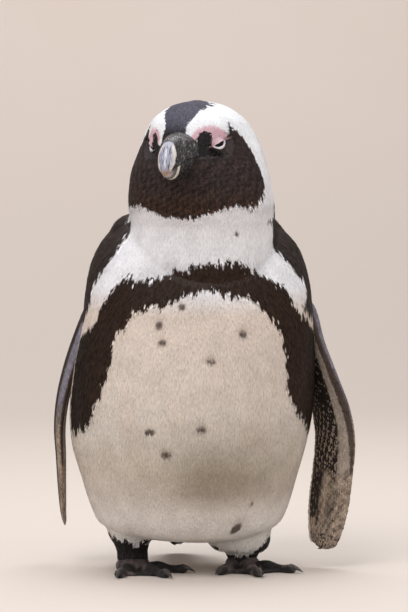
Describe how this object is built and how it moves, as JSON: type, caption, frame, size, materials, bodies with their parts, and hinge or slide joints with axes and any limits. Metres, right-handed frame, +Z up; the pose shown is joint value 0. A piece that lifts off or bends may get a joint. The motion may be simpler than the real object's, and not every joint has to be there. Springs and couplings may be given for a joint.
{
  "type": "penguin model",
  "caption": "Still life-size model of a standing black-and-white penguin, neck drawn in and head turned to one side, flippers hanging, resting on its own feet.",
  "frame": {"origin": "on the floor, below the middle of the whole bird's box", "axes": "+Z up, the bird faces -Y, its left side is at +X"},
  "size_m": [0.2598, 0.223, 0.409],
  "materials": {
    "plumage_white": "matte feathers",
    "plumage_black": "matte feathers",
    "bill_horn": "glossy horn",
    "claw_horn": "satin horn",
    "foot_skin": "scaled skin",
    "eye": "wet gloss"
  },
  "bodies": {
    "root": {"head": "plumage_black", "neck": "plumage_white", "trunk": "plumage_white", "tail": "plumage_black", "flipper_left": "plumage_black", "flipper_right": "plumage_black", "leg_left": "plumage_white", "leg_right": "plumage_white", "foot_left": "foot_skin", "foot_right": "foot_skin", "bill_upper": "bill_horn", "bill_lower": "bill_horn", "eye_left": "eye", "eye_right": "eye", "claw_left_inner": "claw_horn", "claw_left_middle": "claw_horn", "claw_left_outer": "claw_horn", "claw_left_hind": "claw_horn", "claw_right_inner": "claw_horn", "claw_right_middle": "claw_horn", "claw_right_outer": "claw_horn", "claw_right_hind": "claw_horn"}
  },
  "joints": []
}
